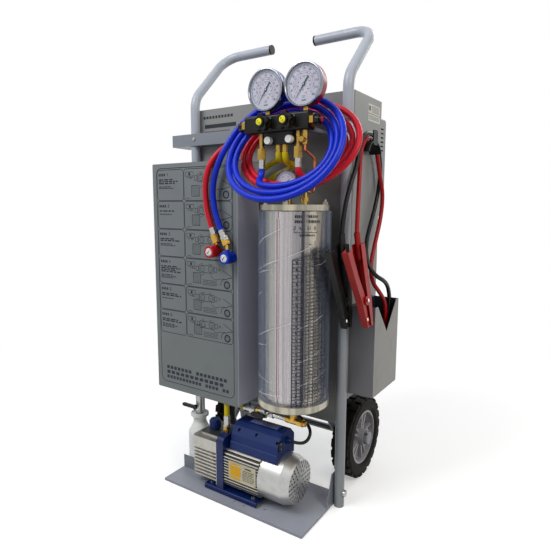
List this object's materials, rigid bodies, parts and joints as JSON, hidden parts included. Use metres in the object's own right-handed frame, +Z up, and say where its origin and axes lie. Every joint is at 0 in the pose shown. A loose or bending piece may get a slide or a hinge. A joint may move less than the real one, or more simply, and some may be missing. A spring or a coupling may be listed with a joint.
{
  "type": "air conditioning recharge station",
  "caption": "Upright tube trolley on wheels with a vacuum pump, clear charging cylinder, gauge manifold, hoses, chart box and cabinet.",
  "frame": {"origin": "on the floor, midway across the width and midway between the cylinder's base ring and the back of the wheels", "axes": "+X right seen from the front, -Y front, +Z up"},
  "size_m": [0.5342, 0.4077, 1.0335],
  "materials": {
    "bhose": "blue hose",
    "black": "black moulded",
    "bluep": "blue",
    "bottle": "translucent",
    "brass": "machined",
    "cab": "light grey enamel",
    "cable": "black cable",
    "castm": "cast",
    "clear": "clear acrylic",
    "cream": "cream moulded",
    "mblack": "black anodised",
    "navy": "navy enamel",
    "navyp": "navy moulded",
    "needle": "black",
    "panel": "grey enamel with printed chart",
    "rcable": "red cable",
    "red": "red",
    "rhose": "red hose",
    "rim": "grey moulded",
    "sheetm": "grey enamel",
    "steel": "brushed",
    "tube": "silver grey enamel",
    "tyre": "black rubber",
    "yhose": "yellow hose",
    "zinc": "zinc plated"
  },
  "bodies": {
    "frame": {"axle": "steel", "ball_valve": "brass", "base_plate": "sheetm", "black_clamp": "mblack", "black_lead": "cable", "blue_coil": "bhose", "blue_coupler": "bluep", "blue_hose": "bhose", "bottle_valve": "zinc", "brackets": "sheetm", "brass_fittings": "brass", "cabinet": "cab", "cable_bin": "cab", "cable_hook": "black", "cylinder_ends": "cream", "cylinder_tank": "steel", "fan_cover": "castm", "frame_screws": "zinc", "grip_plugs": "black", "high_gauge": "red", "instruction_panel": "panel", "junction_box": "navy", "left_post": "tube", "low_gauge": "bluep", "manifold_body": "mblack", "motor_body": "castm", "oil_bottle": "bottle", "oil_case": "castm", "pump_cable": "cable", "pump_foot": "navy", "pump_plate": "navy", "rear_hood": "cab", "red_clamp": "red", "red_coil": "rhose", "red_coupler": "red", "red_hose": "rhose", "red_lead": "rcable", "right_post": "tube", "shelf_tray": "sheetm", "tank_fittings": "brass", "yellow_hoses": "yhose"},
    "left_wheel": {"left_tyre": "tyre", "left_rim": "rim"},
    "right_wheel": {"right_tyre": "tyre", "right_rim": "rim"},
    "shroud": {"cylinder_shroud": "clear"},
    "tank_valve": {"tank_valve_handle": "red"},
    "filler_cap": {"oil_cap": "navyp"},
    "rotor": {"motor_rotor": "steel"},
    "rocker": {"power_switch": "black"},
    "bottle_lever": {"bottle_lever": "black"},
    "ball_lever": {"ball_valve_handle": "black"},
    "low_knob": {"low_side_knob": "black"},
    "high_knob": {"high_side_knob": "black"},
    "left_end_knob": {"vacuum_knob": "black"},
    "right_end_knob": {"charge_knob": "red"},
    "low_pointer": {"low_needle": "needle"},
    "high_pointer": {"high_needle": "needle"},
    "red_jaw": {"red_clamp_jaw": "red"},
    "black_jaw": {"black_clamp_jaw": "mblack"}
  },
  "joints": [
    {"name": "left_wheel_spin", "type": "hinge", "parent": "frame", "child": "left_wheel", "pos_m": [-0.174, 0.0979, 0.097], "axis": [1, 0, 0], "continuous": true},
    {"name": "right_wheel_spin", "type": "hinge", "parent": "frame", "child": "right_wheel", "pos_m": [0.174, 0.0979, 0.097], "axis": [1, 0, 0], "continuous": true},
    {"name": "shroud_turn", "type": "hinge", "parent": "frame", "child": "shroud", "pos_m": [0.125, -0.1211, 0.45], "axis": [0, 0, 1], "continuous": true},
    {"name": "tank_valve_turn", "type": "hinge", "parent": "frame", "child": "tank_valve", "pos_m": [0.146, -0.1181, 0.6878], "axis": [0, 0, 1], "range_deg": [0, 720]},
    {"name": "oil_cap_turn", "type": "hinge", "parent": "frame", "child": "filler_cap", "pos_m": [-0.093, -0.1171, 0.132], "axis": [0, 0, 1], "range_deg": [0, 720]},
    {"name": "fan_spin", "type": "hinge", "parent": "frame", "child": "rotor", "pos_m": [0.1, -0.1171, 0.068], "axis": [1, 0, 0], "continuous": true},
    {"name": "power_rock", "type": "hinge", "parent": "frame", "child": "rocker", "pos_m": [0.101, -0.1371, 0.146], "axis": [0, 1, 0], "range_deg": [0, 12]},
    {"name": "bottle_lever_turn", "type": "hinge", "parent": "frame", "child": "bottle_lever", "pos_m": [-0.16, -0.1151, 0.163], "axis": [0, 1, 0], "range_deg": [0, 90]},
    {"name": "ball_valve_turn", "type": "hinge", "parent": "frame", "child": "ball_lever", "pos_m": [0.046, -0.1391, 0.203], "axis": [0, 1, 0], "range_deg": [0, 90]},
    {"name": "low_side_turn", "type": "hinge", "parent": "frame", "child": "low_knob", "pos_m": [0.085, -0.1811, 0.806], "axis": [0, -1, 0], "range_deg": [0, 720]},
    {"name": "high_side_turn", "type": "hinge", "parent": "frame", "child": "high_knob", "pos_m": [0.137, -0.1811, 0.806], "axis": [0, -1, 0], "range_deg": [0, 720]},
    {"name": "vacuum_turn", "type": "hinge", "parent": "frame", "child": "left_end_knob", "pos_m": [0.021, -0.1541, 0.806], "axis": [-1, 0, 0], "range_deg": [0, 720]},
    {"name": "charge_turn", "type": "hinge", "parent": "frame", "child": "right_end_knob", "pos_m": [0.193, -0.1541, 0.806], "axis": [1, 0, 0], "range_deg": [0, 720]},
    {"name": "low_needle_swing", "type": "hinge", "parent": "frame", "child": "low_pointer", "pos_m": [0.085, -0.1651, 0.868], "axis": [0, 1, 0], "range_deg": [-170, 100], "stiffness_Nm_per_rad": 0.002},
    {"name": "high_needle_swing", "type": "hinge", "parent": "frame", "child": "high_pointer", "pos_m": [0.168, -0.1651, 0.868], "axis": [0, 1, 0], "range_deg": [-170, 100], "stiffness_Nm_per_rad": 0.002},
    {"name": "black_jaw_open", "type": "hinge", "parent": "frame", "child": "black_jaw", "pos_m": [0.22144, -0.09332, 0.46479], "axis": [-0.9988, 0, -0.0484], "range_deg": [0, 18], "stiffness_Nm_per_rad": 0.6, "springref_deg": -14.32},
    {"name": "red_jaw_open", "type": "hinge", "parent": "frame", "child": "red_jaw", "pos_m": [0.25226, -0.06925, 0.46632], "axis": [-0.994, 0, -0.1091], "range_deg": [0, 18], "stiffness_Nm_per_rad": 0.6, "springref_deg": -14.32}
  ]
}
